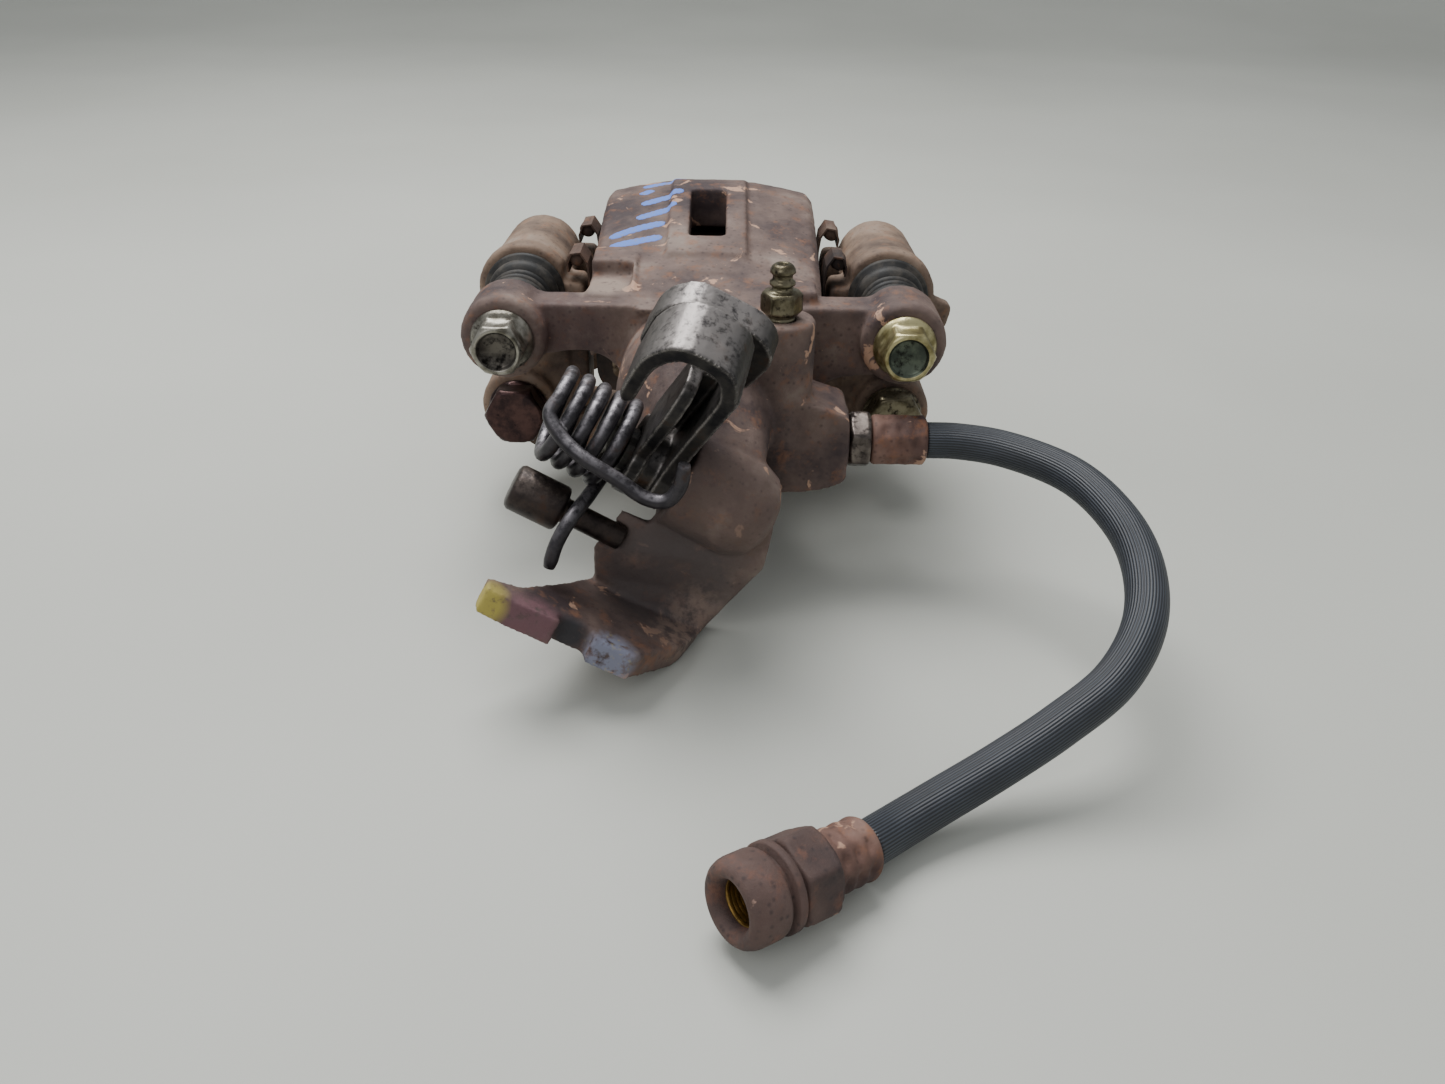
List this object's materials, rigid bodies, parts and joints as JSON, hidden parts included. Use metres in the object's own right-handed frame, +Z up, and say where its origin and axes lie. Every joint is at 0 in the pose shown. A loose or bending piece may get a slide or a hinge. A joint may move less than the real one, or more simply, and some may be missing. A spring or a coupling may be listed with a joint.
{
  "type": "rear floating brake caliper",
  "caption": "Used rear floating brake caliper on its carrier, with pads, a sprung parking-brake lever with a cable fork, and a flexible brake hose lying beside it.",
  "frame": {"origin": "under the middle of the caliper and carrier, without the hose, on the surface it stands on", "axes": "+Z up; +Y along the guide pins, from the piston side to the finger side; +X to the side that the hose leaves"},
  "size_m": [0.1914, 0.2721, 0.1037],
  "materials": {
    "rusted_cast_iron": "rusty cast skin with orange and salmon patches",
    "tan_cast_iron": "dusty tan rust over cast iron",
    "oily_steel": "dark oily steel, worn bright on the edges",
    "dark_zinc": "dulled zinc plating",
    "yellow_zinc": "yellow passivated zinc",
    "olive_zinc": "dull olive zinc",
    "red_brown_steel": "rusty crimped steel",
    "moulded_rubber": "matt EPDM rubber",
    "hose_rubber": "finely ribbed hose cover",
    "friction_lining": "pressed friction material",
    "backing_steel": "worn black paint over rusty plate",
    "stainless_sheet": "stained stainless sheet",
    "chromed_steel": "hard chrome",
    "bright_steel": "ground steel with grease"
  },
  "bodies": {
    "carrier": {"carrier_bracket": "tan_cast_iron", "pad_clip_inner_left": "stainless_sheet", "pad_clip_inner_right": "stainless_sheet", "pad_clip_outer_left": "stainless_sheet", "pad_clip_outer_right": "stainless_sheet", "mounting_bolt_left": "red_brown_steel", "mounting_bolt_right": "olive_zinc"},
    "caliper": {"caliper_housing": "rusted_cast_iron", "guide_pin_left": "bright_steel", "guide_pin_right": "bright_steel", "guide_bolt_left": "dark_zinc", "guide_bolt_right": "yellow_zinc", "guide_boot_left": "moulded_rubber", "guide_boot_right": "moulded_rubber", "bleed_screw": "olive_zinc", "piston_seal": "moulded_rubber", "piston_boot": "moulded_rubber", "adjuster_screw": "oily_steel", "push_strut": "oily_steel", "lever_stop_pin": "oily_steel", "return_spring": "oily_steel", "hose_inlet_union": "dark_zinc", "hose_ferrule_near": "red_brown_steel", "brake_hose": "hose_rubber", "hose_ferrule_far": "red_brown_steel", "hose_end_fitting": "red_brown_steel"},
    "piston": {"piston": "chromed_steel", "adjuster_nut": "oily_steel"},
    "inner_pad": {"inner_pad_lining": "friction_lining", "inner_pad_backing": "backing_steel", "inner_pad_shim": "stainless_sheet"},
    "outer_pad": {"outer_pad_lining": "friction_lining", "outer_pad_backing": "backing_steel", "outer_pad_shim": "stainless_sheet"},
    "lever": {"parking_lever": "oily_steel", "lever_shaft": "oily_steel", "lever_nut": "dark_zinc"}
  },
  "joints": [
    {"name": "caliper_slide", "type": "slide", "parent": "carrier", "child": "caliper", "axis": [0, 1, 0], "range_m": [-0.0045, 0]},
    {"name": "piston_slide", "type": "slide", "parent": "caliper", "child": "piston", "axis": [0, 1, 0], "range_m": [0, 0.009], "deforming": ["piston_boot"]},
    {"name": "inner_pad_slide", "type": "slide", "parent": "carrier", "child": "inner_pad", "axis": [0, 1, 0], "range_m": [0, 0.0045]},
    {"name": "outer_pad_slide", "type": "slide", "parent": "carrier", "child": "outer_pad", "axis": [0, 1, 0], "range_m": [-0.0045, 0]},
    {"name": "parking_lever_pivot", "type": "hinge", "parent": "caliper", "child": "lever", "pos_m": [-0.01664, -0.05698, 0.0544], "axis": [0.8746, 0, -0.4848], "range_deg": [0, 30], "stiffness_Nm_per_rad": 0.8, "springref_deg": -20.05, "deforming": ["return_spring"]}
  ],
  "couplings": [
    {"joint": "piston_slide", "follows": "caliper_slide", "ratio": -2},
    {"joint": "inner_pad_slide", "follows": "caliper_slide", "ratio": -1},
    {"joint": "outer_pad_slide", "follows": "caliper_slide", "ratio": 1}
  ]
}
